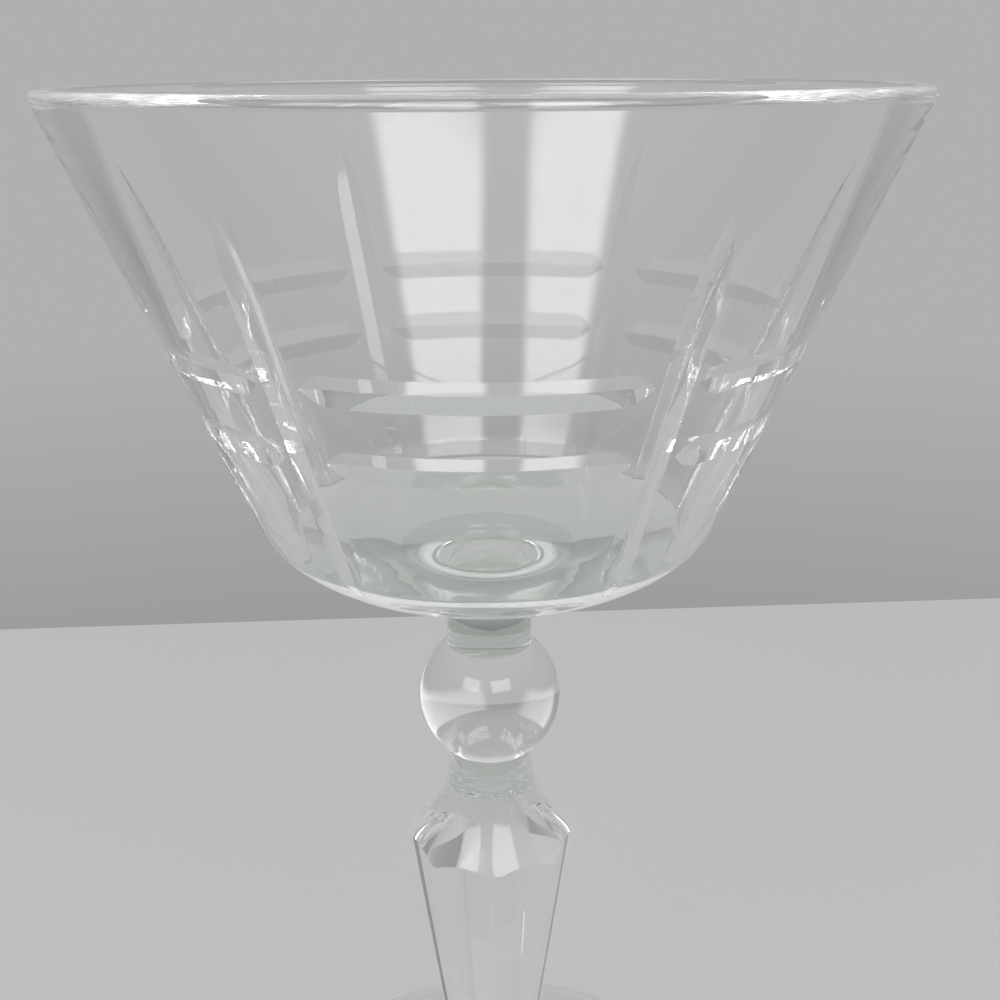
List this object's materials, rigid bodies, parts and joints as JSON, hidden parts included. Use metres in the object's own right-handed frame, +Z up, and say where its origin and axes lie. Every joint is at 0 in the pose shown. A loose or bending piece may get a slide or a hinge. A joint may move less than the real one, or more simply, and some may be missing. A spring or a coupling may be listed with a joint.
{
  "type": "cocktail glass",
  "caption": "Stemmed cocktail glass with a flared bowl cut with flutes and bands, a collar and ball knop, a faceted stem and a round foot.",
  "frame": {"origin": "on the table under the middle of the foot", "axes": "+Z up along the glass's axis; -Y faces the middle of one cut panel of the bowl; +X to the right of it"},
  "size_m": [0.09, 0.09, 0.144],
  "materials": {
    "clear_glass": "polished, clear",
    "tinted_glass": "polished, faint green from its thickness"
  },
  "bodies": {
    "root": {"foot": "clear_glass", "stem": "clear_glass", "ball_knop": "clear_glass", "collar": "tinted_glass", "bowl": "clear_glass"}
  },
  "joints": []
}
